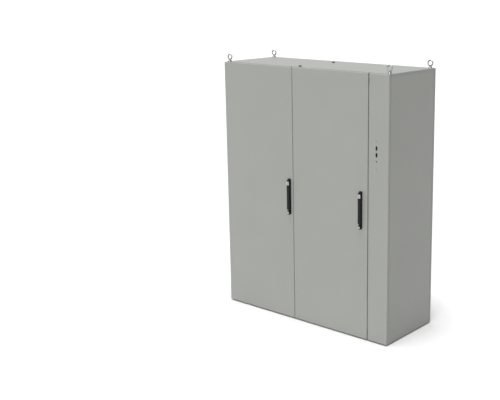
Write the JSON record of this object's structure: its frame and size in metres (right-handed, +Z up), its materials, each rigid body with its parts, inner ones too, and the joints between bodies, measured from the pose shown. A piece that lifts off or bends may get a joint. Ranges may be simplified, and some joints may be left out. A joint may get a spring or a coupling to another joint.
{
  "type": "industrial switchboard cabinet",
  "caption": "Floor-standing sheet-steel switchboard cabinet with side-by-side hinged doors, swing-lever latches, a fixed disconnect panel, lifting eyes and an inner mounting plate.",
  "frame": {"origin": "centre of the floor-bolt pattern, on the floor", "axes": "+X right seen from the front, +Y to the back, +Z up"},
  "size_m": [1.603, 0.6278, 2.0615],
  "materials": {
    "painted_steel": "textured powder coat, light grey",
    "painted_frame": "textured powder coat, light grey",
    "galvanised_steel": "zinc-plated sheet",
    "zinc_fasteners": "bright zinc",
    "dark_fasteners": "black oxide",
    "brass": "plain",
    "gasket_foam": "foamed polyurethane, black",
    "black_plastic": "fine grained, black",
    "satin_chrome": "satin",
    "machined_steel": "machined"
  },
  "bodies": {
    "root": {"base_frame": "painted_frame", "top_frame": "painted_frame", "front_left_post": "painted_frame", "front_right_post": "painted_frame", "rear_left_post": "painted_frame", "rear_right_post": "painted_frame", "centre_post": "painted_frame", "disconnect_post": "painted_frame", "roof_panel": "painted_steel", "roof_beam": "painted_frame", "roof_bolts": "dark_fasteners", "eyebolts": "zinc_fasteners", "rear_panel": "painted_steel", "rear_panel_screws": "zinc_fasteners", "left_side_panel": "painted_steel", "right_side_panel": "painted_steel", "side_panel_screws": "zinc_fasteners", "disconnect_panel": "painted_steel", "disconnect_panel_gasket": "gasket_foam", "disconnect_panel_bolts": "zinc_fasteners", "gland_plates": "galvanised_steel", "gland_plate_screws": "zinc_fasteners", "mounting_plate": "galvanised_steel", "plate_brackets": "galvanised_steel", "plate_bolts": "zinc_fasteners", "earth_studs": "brass", "hinge_frame_leaves": "galvanised_steel", "hinge_pins": "zinc_fasteners", "latch_keepers": "galvanised_steel"},
    "left_door": {"left_door_skin": "painted_steel", "left_door_stiffener": "galvanised_steel", "left_door_gasket": "gasket_foam", "left_hinge_leaves": "galvanised_steel", "left_latch_box": "galvanised_steel", "left_rod_guides": "galvanised_steel", "left_handle_base": "black_plastic", "left_handle_cap": "satin_chrome"},
    "left_spindle_turning": {"left_spindle": "machined_steel"},
    "left_lever_arm": {"left_lever": "black_plastic", "left_lever_pin": "zinc_fasteners", "left_lock_plate": "satin_chrome"},
    "left_lock_turning": {"left_lock_core": "satin_chrome"},
    "left_upper_latch": {"left_upper_rod": "galvanised_steel"},
    "left_lower_latch": {"left_lower_rod": "galvanised_steel"},
    "right_door": {"right_door_skin": "painted_steel", "right_door_stiffener": "galvanised_steel", "right_door_gasket": "gasket_foam", "right_hinge_leaves": "galvanised_steel", "right_latch_box": "galvanised_steel", "right_rod_guides": "galvanised_steel", "right_handle_base": "black_plastic", "right_handle_cap": "satin_chrome"},
    "right_spindle_turning": {"right_spindle": "machined_steel"},
    "right_lever_arm": {"right_lever": "black_plastic", "right_lever_pin": "zinc_fasteners", "right_lock_plate": "satin_chrome"},
    "right_lock_turning": {"right_lock_core": "satin_chrome"},
    "right_upper_latch": {"right_upper_rod": "galvanised_steel"},
    "right_lower_latch": {"right_lower_rod": "galvanised_steel"}
  },
  "joints": [
    {"name": "left_door_swing", "type": "hinge", "parent": "root", "child": "left_door", "pos_m": [-0.787, -0.289, 1], "axis": [0, 0, -1], "range_deg": [0, 115]},
    {"name": "left_handle_turn", "type": "hinge", "parent": "left_door", "child": "left_spindle_turning", "pos_m": [-0.125, -0.307, 0.902], "axis": [0, -1, 0], "range_deg": [0, 90]},
    {"name": "left_lever_swing", "type": "hinge", "parent": "left_spindle_turning", "child": "left_lever_arm", "pos_m": [-0.125, -0.31525, 0.902], "axis": [1, 0, 0], "range_deg": [0, 45]},
    {"name": "left_lock_turn", "type": "hinge", "parent": "left_lever_arm", "child": "left_lock_turning", "pos_m": [-0.125, -0.32, 1.105], "axis": [0, -1, 0], "range_deg": [0, 90]},
    {"name": "left_upper_rod_slide", "type": "slide", "parent": "left_door", "child": "left_upper_latch", "axis": [0, 0, 1], "range_m": [-0.0145, 0]},
    {"name": "left_lower_rod_slide", "type": "slide", "parent": "left_door", "child": "left_lower_latch", "axis": [0, 0, 1], "range_m": [0, 0.0145]},
    {"name": "right_door_swing", "type": "hinge", "parent": "root", "child": "right_door", "pos_m": [-0.075, -0.289, 1], "axis": [0, 0, -1], "range_deg": [0, 115]},
    {"name": "right_handle_turn", "type": "hinge", "parent": "right_door", "child": "right_spindle_turning", "pos_m": [0.561, -0.307, 0.902], "axis": [0, -1, 0], "range_deg": [0, 90]},
    {"name": "right_lever_swing", "type": "hinge", "parent": "right_spindle_turning", "child": "right_lever_arm", "pos_m": [0.561, -0.31525, 0.902], "axis": [1, 0, 0], "range_deg": [0, 45]},
    {"name": "right_lock_turn", "type": "hinge", "parent": "right_lever_arm", "child": "right_lock_turning", "pos_m": [0.561, -0.32, 1.105], "axis": [0, -1, 0], "range_deg": [0, 90]},
    {"name": "right_upper_rod_slide", "type": "slide", "parent": "right_door", "child": "right_upper_latch", "axis": [0, 0, 1], "range_m": [-0.0145, 0]},
    {"name": "right_lower_rod_slide", "type": "slide", "parent": "right_door", "child": "right_lower_latch", "axis": [0, 0, 1], "range_m": [0, 0.0145]}
  ],
  "couplings": [
    {"joint": "left_upper_rod_slide", "follows": "left_handle_turn", "m_per_rad": -0.009},
    {"joint": "left_lower_rod_slide", "follows": "left_handle_turn", "m_per_rad": 0.009},
    {"joint": "right_upper_rod_slide", "follows": "right_handle_turn", "m_per_rad": -0.009},
    {"joint": "right_lower_rod_slide", "follows": "right_handle_turn", "m_per_rad": 0.009}
  ]
}
